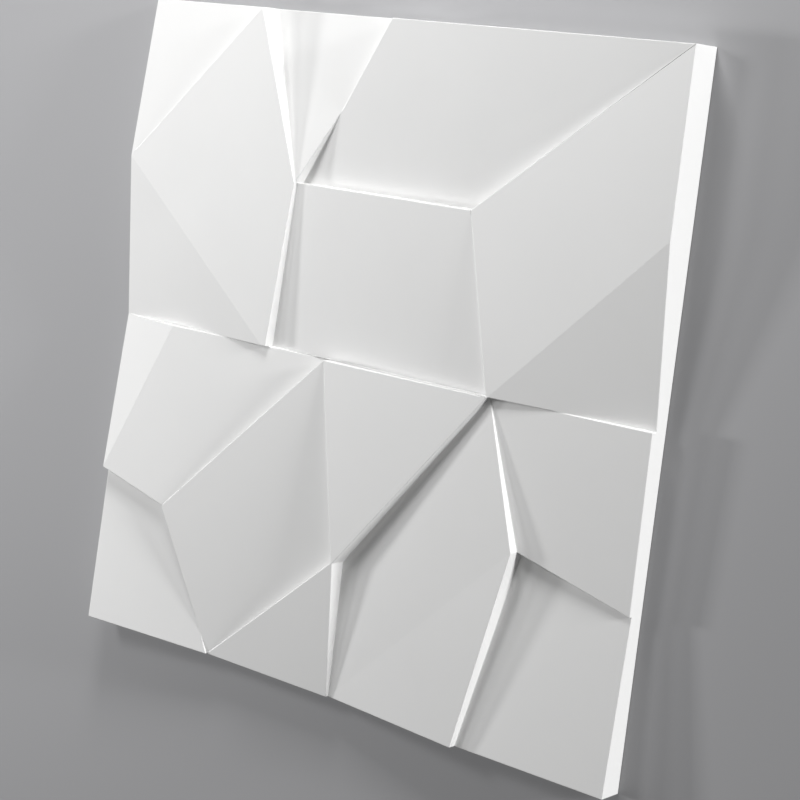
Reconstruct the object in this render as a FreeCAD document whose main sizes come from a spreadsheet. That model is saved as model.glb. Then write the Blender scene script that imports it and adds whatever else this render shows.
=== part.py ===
import FreeCAD, Part
import Sketcher
import os

# Faceted wall panel, cast in one piece of plaster. It lies on its flat back with the relief up.
# The origin is the centre of the back face, X runs to the panel's right, Y to its top edge
# and Z out of the wall. All sizes are in millimetres.

document = FreeCAD.newDocument("wall_panel")

# Driving dimensions: name, value, what it sets.
OUTLINE = [
    ("panel_width", 500.0, "side of the square panel along X"),
    ("panel_length", 500.0, "side of the square panel along Y"),
    ("rim_break", 125.0, "distance of the other outer rim breaks from the middle of each edge"),
    ("crest_up", 126.5, "upper break of the left edge, above the middle"),
    ("upper_row", 125.0, "height in plan of the two upper knots above the middle"),
    ("head_left", 77.5, "upper left knot, left of the middle"),
    ("shoulder_right", 88.0, "upper right knot, right of the middle"),
    ("fork_left", 189.5, "fork on the middle line, left of the middle"),
    ("heel_left", 94.5, "end of the left crease on the middle line"),
    ("foot_left", 90.5, "foot of the long left ridge on the middle line"),
    ("centre_left", 30.0, "centre knot on the middle line, left of the middle"),
    ("hub_right", 120.5, "right side of the right knot on the middle line, right of the middle"),
    ("hub_neck", 1.5, "width of the neck that joins the high facets at the right knot"),
    ("corner_left", 181.5, "lower left knot, left of the middle"),
    ("corner_down", 142.5, "lower left knot, below the middle"),
    ("keel_left", 0.5, "right side of the lower middle knot, left of the middle"),
    ("keel_neck", 1.5, "width of the neck that joins the two high facets at the lower middle knot"),
    ("keel_down", 146.5, "lower middle knot, below the middle"),
    ("elbow_right", 156.0, "lower right knot, right of the middle"),
    ("elbow_down", 102.0, "lower right knot, below the middle"),
]

# Heights above the back face. Facets that meet in a crease share a height,
# and facets that meet in a step have one each.
HEIGHTS = [
    ("top_left_height", 12.0, "top left corner"),
    ("top_first_corner_height", 18.0, "top edge at the first break, on the corner facet"),
    ("top_first_height", 25.0, "top edge at the first break, on the left slope"),
    ("top_first_low_height", 8.0, "top edge at the first break, right side"),
    ("top_middle_low_height", 12.5, "top edge at its middle, left side"),
    ("top_middle_height", 24.5, "top edge at its middle, right side"),
    ("top_right_height", 26.0, "top right corner"),
    ("left_upper_height", 26.0, "left edge at the upper break"),
    ("left_middle_height", 13.5, "left edge at its middle"),
    ("left_lower_height", 26.5, "left edge at the lower break, upper side"),
    ("left_lower_low_height", 20.0, "left edge at the lower break, lower side"),
    ("bottom_left_height", 28.0, "bottom left corner"),
    ("bottom_first_height", 18.0, "bottom edge at the first break, left side"),
    ("bottom_first_low_height", 16.5, "bottom edge at the first break, right side"),
    ("bottom_middle_low_height", 14.0, "bottom edge at its middle, right side"),
    ("bottom_third_height", 26.5, "bottom edge at the last break, left side"),
    ("bottom_third_low_height", 20.5, "bottom edge at the last break, right side"),
    ("bottom_right_height", 20.0, "bottom right corner"),
    ("right_upper_height", 26.0, "right edge at the upper break"),
    ("right_middle_low_height", 12.0, "right edge at its middle, upper side"),
    ("right_middle_height", 17.0, "right edge at its middle, lower side"),
    ("right_lower_height", 15.0, "right edge at the lower break, upper side"),
    ("head_height", 22.5, "upper left knot on the top facet"),
    ("head_field_height", 13.0, "upper left knot on the top field"),
    ("head_centre_height", 20.5, "upper left knot on the centre field"),
    ("shoulder_height", 24.5, "upper right knot on the centre field and the right slope"),
    ("heel_height", 23.0, "left crease on the middle line"),
    ("fork_height", 22.5, "fork on the middle line, lower side"),
    ("centre_height", 25.0, "centre knot on the lower facets"),
    ("centre_low_height", 16.5, "centre knot on the left valley"),
    ("hub_field_height", 19.5, "right knot on the centre field"),
    ("hub_height", 24.5, "right knot on the right slope and the right dip"),
    ("hub_bottom_height", 21.0, "right knot on the bottom middle facet"),
    ("hub_right_height", 20.5, "right knot on the lower right facet"),
    ("keel_height", 25.5, "lower middle knot on the lower centre facet and the bottom facet"),
    ("keel_field_height", 16.0, "lower middle knot on the lower left field"),
    ("elbow_height", 25.0, "lower right knot on the bottom middle facets"),
    ("elbow_low_height", 11.5, "lower right knot on the bottom right facet"),
]

sheet = document.addObject("Spreadsheet::Sheet", "Sizes")
for row, (alias, value, note) in enumerate(OUTLINE + HEIGHTS, start=1):
    sheet.set("A%d" % row, note)
    sheet.set("B%d" % row, str(value))
    sheet.setAlias("B%d" % row, alias)
sheet.set("D1", "half of the width and half of the length")
sheet.set("E1", "=panel_width / 2")
sheet.setAlias("E1", "half_width")
sheet.set("E2", "=panel_length / 2")
sheet.setAlias("E2", "half_length")
sheet.set("D3", "left side of the lower middle knot, left of the middle")
sheet.set("E3", "=keel_left + keel_neck")
sheet.setAlias("E3", "keel_field_left")
sheet.set("D4", "left side of the right knot, right of the middle")
sheet.set("E4", "=hub_right - hub_neck")
sheet.setAlias("E4", "hub_field_right")
document.recompute()

# Corners of the facets in plan, each as the name of its X and of its Y in the sheet.
CORNERS = {
    "top_left": ("-half_width", "half_length"),
    "top_first": ("-rim_break", "half_length"),
    "top_middle": ("0", "half_length"),
    "top_right": ("half_width", "half_length"),
    "left_upper": ("-half_width", "crest_up"),
    "left_middle": ("-half_width", "0"),
    "left_lower": ("-half_width", "-rim_break"),
    "right_upper": ("half_width", "rim_break"),
    "right_middle": ("half_width", "0"),
    "right_lower": ("half_width", "-rim_break"),
    "bottom_left": ("-half_width", "-half_length"),
    "bottom_first": ("-rim_break", "-half_length"),
    "bottom_middle": ("0", "-half_length"),
    "bottom_third": ("rim_break", "-half_length"),
    "bottom_right": ("half_width", "-half_length"),
    "head": ("-head_left", "upper_row"),
    "shoulder": ("shoulder_right", "upper_row"),
    "fork": ("-fork_left", "0"),
    "heel": ("-heel_left", "0"),
    "foot": ("-foot_left", "0"),
    "centre": ("-centre_left", "0"),
    "hub": ("hub_right", "0"),
    "hub_field": ("hub_field_right", "0"),
    "corner": ("-corner_left", "-corner_down"),
    "keel": ("-keel_left", "-keel_down"),
    "keel_field": ("-keel_field_left", "-keel_down"),
    "elbow": ("elbow_right", "-elbow_down"),
}

# Facets: name, outline in plan, and the three corners whose heights set its plane.
FACETS = [
    ("top_left_facet", ["top_left", "left_upper", "top_first"],
     [("top_left", "top_left_height"), ("left_upper", "left_upper_height"),
      ("top_first", "top_first_corner_height")]),
    ("left_slope", ["top_first", "left_upper", "heel", "foot", "head"],
     [("left_upper", "left_upper_height"), ("heel", "heel_height"), ("top_first", "top_first_height")]),
    ("left_dip", ["left_upper", "left_middle", "fork", "heel"],
     [("left_upper", "left_upper_height"), ("left_middle", "left_middle_height"), ("heel", "heel_height")]),
    ("top_facet", ["top_first", "head", "top_middle"],
     [("top_first", "top_first_low_height"), ("head", "head_height"), ("top_middle", "top_middle_low_height")]),
    ("top_field", ["top_middle", "head", "shoulder", "top_right"],
     [("top_middle", "top_middle_height"), ("head", "head_field_height"), ("top_right", "top_right_height")]),
    ("centre_field", ["head", "foot", "centre", "hub_field", "shoulder"],
     [("head", "head_centre_height"), ("hub_field", "hub_field_height"), ("shoulder", "shoulder_height")]),
    ("right_slope", ["shoulder", "hub_field", "hub", "right_upper", "top_right"],
     [("shoulder", "shoulder_height"), ("hub", "hub_height"), ("right_upper", "right_upper_height")]),
    ("right_dip", ["hub", "right_middle", "right_upper"],
     [("hub", "hub_height"), ("right_middle", "right_middle_low_height"), ("right_upper", "right_upper_height")]),
    ("left_low_facet", ["left_middle", "left_lower", "fork"],
     [("left_middle", "left_middle_height"), ("left_lower", "left_lower_height"), ("fork", "fork_height")]),
    ("left_valley", ["fork", "left_lower", "corner", "centre"],
     [("fork", "fork_height"), ("left_lower", "left_lower_height"), ("centre", "centre_low_height")]),
    ("low_left_field", ["centre", "corner", "bottom_first", "keel_field"],
     [("centre", "centre_height"), ("bottom_first", "bottom_first_low_height"),
      ("keel_field", "keel_field_height")]),
    ("low_centre_facet", ["centre", "keel_field", "keel", "hub", "hub_field"],
     [("centre", "centre_height"), ("keel_field", "keel_height"), ("keel", "keel_height")]),
    ("bottom_left_facet", ["left_lower", "bottom_left", "bottom_first", "corner"],
     [("left_lower", "left_lower_low_height"), ("bottom_left", "bottom_left_height"),
      ("bottom_first", "bottom_first_height")]),
    ("bottom_facet", ["keel_field", "bottom_first", "bottom_middle", "keel"],
     [("keel_field", "keel_height"), ("keel", "keel_height"), ("bottom_first", "bottom_first_low_height")]),
    ("bottom_middle_facet", ["keel", "bottom_middle", "elbow", "hub"],
     [("bottom_middle", "bottom_middle_low_height"), ("elbow", "elbow_height"), ("hub", "hub_bottom_height")]),
    ("bottom_foot_facet", ["bottom_middle", "bottom_third", "elbow"],
     [("bottom_middle", "bottom_middle_low_height"), ("bottom_third", "bottom_third_height"),
      ("elbow", "elbow_height")]),
    ("right_low_facet", ["hub", "elbow", "right_lower", "right_middle"],
     [("hub", "hub_right_height"), ("right_lower", "right_lower_height"),
      ("right_middle", "right_middle_height")]),
    ("bottom_right_facet", ["elbow", "bottom_third", "bottom_right", "right_lower"],
     [("elbow", "elbow_low_height"), ("bottom_third", "bottom_third_low_height"),
      ("bottom_right", "bottom_right_height")]),
]

panel = document.addObject("PartDesign::Body", "Panel")
panel.Label = "wall_panel"
panel.Placement = FreeCAD.Placement()
back_plane = next(feature for feature in panel.Origin.OriginFeatures if feature.Role == "XY_Plane")
height_points = {}


def plan_expression(place):
    """Expression behind the name of a plan coordinate."""
    if place == "0":
        return place
    return place.replace("-", "-Sizes.") if place.startswith("-") else "Sizes." + place


def plan_value(place):
    """Number behind the name of a plan coordinate."""
    if place == "0":
        return 0.0
    value = float(sheet.get(place.lstrip("-")))
    return -value if place.startswith("-") else value


def height_point(corner, height):
    """The point above one corner of the plan at a height from the sheet, made once."""
    if (corner, height) not in height_points:
        point = panel.newObject("PartDesign::Point", "%s_at_%s" % (corner, height))
        across, along = CORNERS[corner]
        point.setExpression("Placement.Base.x", plan_expression(across))
        point.setExpression("Placement.Base.y", plan_expression(along))
        point.setExpression("Placement.Base.z", "Sizes." + height)
        height_points[corner, height] = point
    return height_points[corner, height]


def plan_sketch(name, outline):
    """A closed outline on the back plane, each corner held at its place in plan."""
    sketch = panel.newObject("Sketcher::SketchObject", name + "_plan")
    sketch.AttachmentSupport = [(back_plane, "")]
    sketch.MapMode = "FlatFace"
    places = []
    for corner in outline:
        across, along = CORNERS[corner]
        places.append(FreeCAD.Vector(plan_value(across), plan_value(along), 0))
    for index, place in enumerate(places):
        sketch.addGeometry(Part.LineSegment(place, places[(index + 1) % len(places)]))
    for index, corner in enumerate(outline):
        following = (index + 1) % len(outline)
        sketch.addConstraint(Sketcher.Constraint("Coincident", index, 2, following, 1))
    for index, corner in enumerate(outline):
        across, along = CORNERS[corner]
        for direction, place in (("DistanceX", across), ("DistanceY", along)):
            held = sketch.addConstraint(Sketcher.Constraint(direction, -1, 1, index, 1, plan_value(place)))
            sketch.setExpression("Constraints[%d]" % held, plan_expression(place))
    return sketch


def add_facet(name, outline, heights):
    """A column of plaster under one facet, from the back up to the facet's tilted plane."""
    plane = panel.newObject("PartDesign::Plane", name + "_plane")
    plane.AttachmentSupport = [(height_point(corner, height), "") for corner, height in heights]
    plane.MapMode = "ThreePointsPlane"
    sketch = plan_sketch(name, outline)
    document.recompute()
    column = panel.newObject("PartDesign::Pad", name)
    column.Profile = sketch
    column.Type = "UpToFace"
    column.UpToFace = (plane, [""])
    column.Refine = True
    panel.Tip = column


for facet in FACETS:
    add_facet(*facet)
document.recompute()

broken = [item.Name for item in document.Objects if "Invalid" in item.State or "Error" in item.State]
if broken:
    raise RuntimeError("failed to build: " + ", ".join(broken))
if panel.Shape.isNull() or not panel.Shape.isValid() or len(panel.Shape.Solids) != 1:
    raise RuntimeError("the panel is not one valid solid")

os.makedirs("parts", exist_ok=True)
panel.Shape.exportStep("parts/%s.step" % panel.Label)
print(panel.Label, panel.Shape.BoundBox, "volume", round(panel.Shape.Volume / 1e6, 4), "litres",
      len(panel.Shape.Faces), "faces")
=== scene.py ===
"""Finish, floor, lamps and camera for a cast plaster wall panel with a faceted relief.

The panel lies flat on its back. X runs to its right, Y to its top edge and Z out of the relief.
"""

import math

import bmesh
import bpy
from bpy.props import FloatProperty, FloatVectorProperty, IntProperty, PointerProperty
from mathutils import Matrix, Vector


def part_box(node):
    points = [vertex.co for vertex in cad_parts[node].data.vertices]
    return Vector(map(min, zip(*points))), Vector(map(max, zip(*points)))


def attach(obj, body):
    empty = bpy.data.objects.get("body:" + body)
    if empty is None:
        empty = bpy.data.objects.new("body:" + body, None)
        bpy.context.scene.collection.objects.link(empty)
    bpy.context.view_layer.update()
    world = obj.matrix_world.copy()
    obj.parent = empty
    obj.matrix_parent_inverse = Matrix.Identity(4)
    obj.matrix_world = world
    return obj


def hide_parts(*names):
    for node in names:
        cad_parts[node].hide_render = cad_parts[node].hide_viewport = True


bl_info = {
    "name": "Faceted Relief Panel",
    "version": (1, 0, 0),
    "blender": (4, 5, 0),
    "location": "3D View > Sidebar > Relief Panel",
    "description": "Rounds the edges of a cast plaster relief panel and gives it its finish and studio",
    "category": "Object",
}

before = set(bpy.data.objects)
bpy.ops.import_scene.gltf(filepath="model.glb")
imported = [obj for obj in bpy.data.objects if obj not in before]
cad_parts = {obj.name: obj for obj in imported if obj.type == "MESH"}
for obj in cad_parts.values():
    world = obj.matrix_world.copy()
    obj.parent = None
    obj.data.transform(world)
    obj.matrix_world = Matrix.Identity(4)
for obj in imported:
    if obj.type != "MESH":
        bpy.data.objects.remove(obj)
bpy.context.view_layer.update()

NODE = "wall_panel"

MILLIMETRE = 0.001
PANEL_LOW, PANEL_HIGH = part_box(NODE)
PANEL_CENTRE = (PANEL_LOW + PANEL_HIGH) / 2


class ReliefPanelSettings(bpy.types.PropertyGroup):
    """Edges and finish of the cast panel."""

    edge_radius: FloatProperty(
        name="Edge radius",
        description="Radius of the cast edges and of the inner corners",
        default=0.5 * MILLIMETRE,
        min=0.0,
        unit="LENGTH",
    )
    edge_segments: IntProperty(
        name="Edge segments",
        description="Strips of faces round each edge",
        default=2,
        min=1,
        max=6,
    )
    sharpest_crease: FloatProperty(
        name="Softened from",
        description="Edges that turn by more than this angle are rounded, flatter creases stay as cast",
        default=math.radians(14),
        subtype="ANGLE",
    )
    plaster_color: FloatVectorProperty(
        name="Plaster",
        description="Colour of the primed relief and sides",
        default=(0.80, 0.80, 0.795),
        subtype="COLOR",
        min=0.0,
        max=1.0,
    )
    back_color: FloatVectorProperty(
        name="Back",
        description="Colour of the bare struck back",
        default=(0.70, 0.695, 0.68),
        subtype="COLOR",
        min=0.0,
        max=1.0,
    )
    roughness: FloatProperty(
        name="Roughness",
        description="Mean roughness of the primed face",
        default=0.66,
        min=0.0,
        max=1.0,
        subtype="FACTOR",
    )
    grain_size: FloatProperty(
        name="Grain size",
        description="Width of one grain of the primed surface",
        default=1.1 * MILLIMETRE,
        unit="LENGTH",
    )
    grain_depth: FloatProperty(
        name="Grain depth",
        description="Height of the grain",
        default=0.018 * MILLIMETRE,
        unit="LENGTH",
    )


class StudioSettings(bpy.types.PropertyGroup):
    """Floor, light and camera."""

    floor_color: FloatVectorProperty(
        name="Floor",
        description="Colour of the plain floor",
        default=(0.42, 0.42, 0.43),
        subtype="COLOR",
        min=0.0,
        max=1.0,
    )
    backdrop_color: FloatVectorProperty(
        name="Backdrop",
        description="Colour that shows beyond the floor",
        default=(0.26, 0.26, 0.265),
        subtype="COLOR",
        min=0.0,
        max=1.0,
    )
    fill: FloatProperty(
        name="Fill light",
        description="Strength of the even light from all round",
        default=0.13,
        min=0.0,
    )
    top: FloatProperty(
        name="Top lamp",
        description="Power of the lamp beyond the panel's top edge",
        default=7.2,
        subtype="POWER",
        unit="POWER",
    )
    high: FloatProperty(
        name="High lamp",
        description="Power of the lamp high above the panel's upper left corner",
        default=2.9,
        subtype="POWER",
        unit="POWER",
    )
    left: FloatProperty(
        name="Left lamp",
        description="Power of the small lamp beyond the panel's left edge",
        default=1.9,
        subtype="POWER",
        unit="POWER",
    )
    rake: FloatProperty(
        name="Raking lamp",
        description="Power of the far lamp on the left, which draws the shadows of the steps",
        default=110.0,
        subtype="POWER",
        unit="POWER",
    )
    right: FloatProperty(
        name="Right lamp",
        description="Power of the low lamp on the panel's right",
        default=345.0,
        subtype="POWER",
        unit="POWER",
    )
    lens: FloatProperty(
        name="Lens",
        description="Focal length on a sensor 36 mm wide",
        default=90.19,
        min=10.0,
    )
    camera_place: FloatVectorProperty(
        name="Camera",
        description="Place of the camera",
        default=(0.9178, 0.2032, 1.1285),
        subtype="TRANSLATION",
        unit="LENGTH",
    )
    camera_turn: FloatVectorProperty(
        name="Camera turn",
        description="Rotation of the camera about X, Y and Z",
        default=(math.radians(-3.746), math.radians(39.029), math.radians(8.146)),
        subtype="EULER",
    )


class Signal:
    """One number that changes over a surface. Arithmetic on it adds Math nodes."""

    def __init__(self, shader, socket):
        self.shader = shader
        self.socket = socket

    def math(self, operation, *values):
        node = self.shader.add("ShaderNodeMath", {"operation": operation}, dict(enumerate(values)))
        return Signal(self.shader, node.outputs[0])

    def __add__(self, other):
        return self.math("ADD", self, other)

    def __sub__(self, other):
        return self.math("SUBTRACT", self, other)

    def __rsub__(self, other):
        return self.math("SUBTRACT", other, self)

    def __mul__(self, other):
        return self.math("MULTIPLY", self, other)

    def __truediv__(self, other):
        return self.math("DIVIDE", self, other)

    __radd__ = __add__

    def step(self, start, end):
        """Zero up to start and one from end on, with a soft rise between them."""
        node = self.shader.add(
            "ShaderNodeMapRange",
            {"interpolation_type": "SMOOTHSTEP"},
            {"Value": self, "From Min": start, "From Max": end},
        )
        return Signal(self.shader, node.outputs[0])


class Shader:
    """The node tree of one material, around one Principled shader."""

    def __init__(self, name):
        self.material = bpy.data.materials.new(name)
        self.material.use_nodes = True
        self.tree = self.material.node_tree
        self.surface = self.tree.nodes["Principled BSDF"]
        self.place = self.add("ShaderNodeTexCoord").outputs["Object"]

    def add(self, kind, settings=None, inputs=None):
        """Any node: its settings come first, then the values or links of its sockets."""
        node = self.tree.nodes.new(kind)
        for name, value in (settings or {}).items():
            setattr(node, name, value)
        for name, value in (inputs or {}).items():
            self.feed(node.inputs[name], value)
        return node

    def feed(self, socket, value):
        """Links a signal or a socket, or sets a plain value."""
        if isinstance(value, Signal):
            value = value.socket
        if isinstance(value, bpy.types.NodeSocket):
            self.tree.links.new(value, socket)
        else:
            socket.default_value = value

    def noise(self, size, detail=2.0, stretch=(1.0, 1.0, 1.0)):
        """Soft random pattern from 0 to 1 with features of a size in metres."""
        scale = tuple(along / size for along in stretch)
        place = self.add("ShaderNodeVectorMath", {"operation": "MULTIPLY"}, {0: self.place, 1: scale})
        node = self.add(
            "ShaderNodeTexNoise",
            {"noise_dimensions": "3D"},
            {"Vector": place.outputs[0], "Scale": 1.0, "Detail": detail},
        )
        return Signal(self, node.outputs[0])

    def pits(self, spacing, radius):
        """Depth from 0 to 1 of round pits scattered at about a spacing, none larger than radius."""
        cells = self.add(
            "ShaderNodeTexVoronoi",
            {"feature": "F1"},
            {"Vector": self.place, "Scale": 1 / spacing},
        )
        away = Signal(self, cells.outputs["Distance"]) * spacing
        lottery = self.add("ShaderNodeSeparateColor", None, {"Color": cells.outputs["Color"]})
        smallest = 0.01 * MILLIMETRE
        reach = Signal(self, lottery.outputs[0]) * radius + smallest
        return 1 - (away / reach).step(0.6, 1.0)

    def height(self):
        """The third object coordinate."""
        node = self.add("ShaderNodeSeparateXYZ", None, {"Vector": self.place})
        return Signal(self, node.outputs["Z"])

    def mix(self, factor, first, second):
        """Blend of two colours."""
        node = self.add("ShaderNodeMix", {"data_type": "RGBA"}, {0: factor, 6: first, 7: second})
        return node.outputs[2]

    def relief(self, height):
        """Surface normal of a height given in metres."""
        node = self.add("ShaderNodeBump", None, {"Height": height, "Distance": 1.0, "Strength": 1.0})
        return node.outputs[0]

    def finish(self, inputs):
        """Sets the sockets of the Principled shader."""
        for name, value in inputs.items():
            self.feed(self.surface.inputs[name], value)
        return self.material


def shade(color, share):
    """A colour made darker or lighter by a share, with full alpha."""
    return tuple(channel * share for channel in color) + (1.0,)


def plaster(settings):
    """Primed cast plaster: an even matt white over a fine grain, and a bare struck back with painted shade
    in its pits.
    """
    white, bare = settings.plaster_color, settings.back_color
    shader = Shader("cast_plaster")

    cloud = shader.noise(75 * MILLIMETRE, detail=3.0)
    patch = shader.noise(12 * MILLIMETRE, detail=2.0)
    wave = shader.noise(30 * MILLIMETRE, detail=1.0)
    grain = shader.noise(settings.grain_size, detail=3.0)
    powder = shader.noise(settings.grain_size * 0.35, detail=1.0)
    mottle = cloud * 0.6 + patch * 0.25 + grain * 0.15
    face_color = shader.mix(mottle, shade(white, 1.02), shade(white, 0.975))
    face_roughness = settings.roughness + (cloud - 0.5) * 0.10 + (grain - 0.5) * 0.10
    wave_depth = 0.06 * MILLIMETRE
    powder_depth = settings.grain_depth * 0.4
    face_height = wave * wave_depth + grain * settings.grain_depth + powder * powder_depth

    along_the_strike = (0.03, 1.0, 1.0)
    drag = shader.noise(2.2 * MILLIMETRE, detail=4.0, stretch=along_the_strike)
    pits = shader.pits(spacing=9 * MILLIMETRE, radius=1.1 * MILLIMETRE)
    back_color = shader.mix(drag * 0.7 + cloud * 0.3, shade(bare, 1.04), shade(bare, 0.93))
    # Painted shade: the pits are coloured darker, as the shade inside them, on top of their bump depth.
    back_color = shader.mix(pits * 0.5, back_color, shade(bare, 0.55))
    back_roughness = 0.86 + (drag - 0.5) * 0.08
    drag_depth, pit_depth = 0.22 * MILLIMETRE, 0.5 * MILLIMETRE
    back_height = drag * drag_depth - pits * pit_depth

    back_ends, face_starts = 0.2 * MILLIMETRE, 0.6 * MILLIMETRE
    back = 1 - shader.height().step(back_ends, face_starts)
    return shader.finish({
        "Base Color": shader.mix(back, face_color, back_color),
        "Roughness": face_roughness * (1 - back) + back_roughness * back,
        "Normal": shader.relief(face_height * (1 - back) + back_height * back),
        "IOR": 1.5,
    })


def softened_copy(source, name, settings):
    """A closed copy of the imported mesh, with flat facets and rounded edges."""
    one_point = 0.01 * MILLIMETRE
    one_plane = math.radians(0.2)
    mesh = bmesh.new()
    mesh.from_mesh(source.data)
    bmesh.ops.remove_doubles(mesh, verts=mesh.verts, dist=one_point)
    bmesh.ops.dissolve_limit(mesh, angle_limit=one_plane, verts=mesh.verts, edges=mesh.edges)
    bmesh.ops.recalc_face_normals(mesh, faces=mesh.faces)
    sharp = [edge for edge in mesh.edges if edge.calc_face_angle(0.0) > settings.sharpest_crease]
    bmesh.ops.bevel(
        mesh,
        geom=sharp,
        offset=settings.edge_radius,
        offset_type="OFFSET",
        segments=settings.edge_segments,
        profile=0.5,
        affect="EDGES",
        clamp_overlap=False,
    )
    result = bpy.data.meshes.new(name)
    mesh.to_mesh(result)
    mesh.free()
    piece = bpy.data.objects.new(name, result)
    bpy.context.scene.collection.objects.link(piece)
    return piece


class RELIEF_OT_add_panel(bpy.types.Operator):
    """Adds the cast panel with soft edges and its plaster finish"""

    bl_idname = "relief.add_panel"
    bl_label = "Add Cast Panel"

    def execute(self, context):
        settings = context.scene.relief_panel
        piece = softened_copy(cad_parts[NODE], "cast_panel", settings)
        piece.data.materials.append(plaster(settings))
        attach(piece, "root")
        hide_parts(NODE)
        return {"FINISHED"}


def area_lamp(name, power, bearing, rise, distance, width):
    """A square lamp that faces the panel.

    Its bearing is in degrees from X towards Y, its rise in degrees from the floor.
    """
    data = bpy.data.lights.new(name, "AREA")
    data.shape = "SQUARE"
    data.size = width
    data.energy = power
    turn, lift = math.radians(bearing), math.radians(rise)
    level = math.cos(lift)
    away = Vector((level * math.cos(turn), level * math.sin(turn), math.sin(lift)))
    lamp = bpy.data.objects.new(name, data)
    lamp.location = PANEL_CENTRE + away * distance
    lamp.rotation_euler = away.to_track_quat("Z", "Y").to_euler()
    lamp.visible_camera = False
    bpy.context.scene.collection.objects.link(lamp)


def surround(tree, settings):
    """An even white fill, which the camera and the gloss see as the plain backdrop."""
    fill = tree.nodes["Background"]
    fill.inputs["Color"].default_value = (1.0, 1.0, 1.0, 1.0)
    fill.inputs["Strength"].default_value = settings.fill
    seen = tree.nodes.new("ShaderNodeBackground")
    seen.inputs["Color"].default_value = shade(settings.backdrop_color, 1.0)
    path = tree.nodes.new("ShaderNodeLightPath")
    looks = path.outputs["Is Camera Ray"]
    for ray in ("Is Glossy Ray", "Is Transmission Ray"):
        either = tree.nodes.new("ShaderNodeMath")
        either.operation = "MAXIMUM"
        tree.links.new(looks, either.inputs[0])
        tree.links.new(path.outputs[ray], either.inputs[1])
        looks = either.outputs[0]
    blend = tree.nodes.new("ShaderNodeMixShader")
    tree.links.new(looks, blend.inputs[0])
    tree.links.new(fill.outputs[0], blend.inputs[1])
    tree.links.new(seen.outputs[0], blend.inputs[2])
    tree.links.new(blend.outputs[0], tree.nodes["World Output"].inputs["Surface"])


class RELIEF_OT_add_studio(bpy.types.Operator):
    """Adds the floor, the backdrop, the lamps and the camera"""

    bl_idname = "relief.add_studio"
    bl_label = "Add Studio"

    def execute(self, context):
        settings = context.scene.relief_studio
        self.add_floor(settings)
        self.add_light(context.scene, settings)
        self.add_camera(context.scene, settings)
        context.scene.view_settings.view_transform = "Standard"
        return {"FINISHED"}

    def add_floor(self, settings):
        reach = 4.0
        drop = 0.2 * MILLIMETRE
        place = Matrix.Translation((0.0, 0.0, PANEL_LOW.z - drop))
        disc = bmesh.new()
        bmesh.ops.create_circle(disc, cap_ends=True, segments=128, radius=reach, matrix=place)
        mesh = bpy.data.meshes.new("floor")
        disc.to_mesh(mesh)
        disc.free()
        floor = bpy.data.objects.new("floor", mesh)
        bpy.context.scene.collection.objects.link(floor)
        shader = Shader("floor_paint")
        cloud = shader.noise(250 * MILLIMETRE, detail=3.0)
        paint = settings.floor_color
        color = shader.mix(cloud, shade(paint, 1.01), shade(paint, 0.99))
        finish = {"Base Color": color, "Roughness": 1.0, "Specular IOR Level": 0.0}
        mesh.materials.append(shader.finish(finish))

    def add_light(self, scene, settings):
        near, far, farthest = 1.1, 5.0, 6.0
        area_lamp("top_lamp", settings.top, bearing=90, rise=22, distance=near, width=0.3)
        area_lamp("high_lamp", settings.high, bearing=140, rise=50, distance=near, width=0.3)
        area_lamp("left_lamp", settings.left, bearing=188, rise=33, distance=near, width=0.15)
        area_lamp("raking_lamp", settings.rake, bearing=185, rise=18, distance=far, width=0.4)
        area_lamp("right_lamp", settings.right, bearing=20, rise=4, distance=farthest, width=0.8)
        scene.world = bpy.data.worlds.new("studio")
        scene.world.use_nodes = True
        surround(scene.world.node_tree, settings)

    def add_camera(self, scene, settings):
        data = bpy.data.cameras.new("camera")
        data.lens = settings.lens
        data.sensor_width = 36.0
        camera = bpy.data.objects.new("camera", data)
        camera.location = settings.camera_place
        camera.rotation_euler = settings.camera_turn
        scene.collection.objects.link(camera)
        scene.camera = camera


class RELIEF_PT_panel(bpy.types.Panel):
    """Settings of the relief panel and its studio"""

    bl_idname = "RELIEF_PT_panel"
    bl_label = "Relief Panel"
    bl_space_type = "VIEW_3D"
    bl_region_type = "UI"
    bl_category = "Relief Panel"

    def draw(self, context):
        for group, operator in (
            (context.scene.relief_panel, "relief.add_panel"),
            (context.scene.relief_studio, "relief.add_studio"),
        ):
            box = self.layout.box()
            for name in group.__annotations__:
                box.prop(group, name)
            box.operator(operator)


CLASSES = (ReliefPanelSettings, StudioSettings, RELIEF_OT_add_panel, RELIEF_OT_add_studio, RELIEF_PT_panel)


def register():
    for kind in CLASSES:
        bpy.utils.register_class(kind)
    bpy.types.Scene.relief_panel = PointerProperty(type=ReliefPanelSettings)
    bpy.types.Scene.relief_studio = PointerProperty(type=StudioSettings)


def unregister():
    del bpy.types.Scene.relief_studio
    del bpy.types.Scene.relief_panel
    for kind in reversed(CLASSES):
        bpy.utils.unregister_class(kind)


def main():
    register()
    bpy.ops.relief.add_panel()
    bpy.ops.relief.add_studio()


if __name__ == "__main__":
    main()
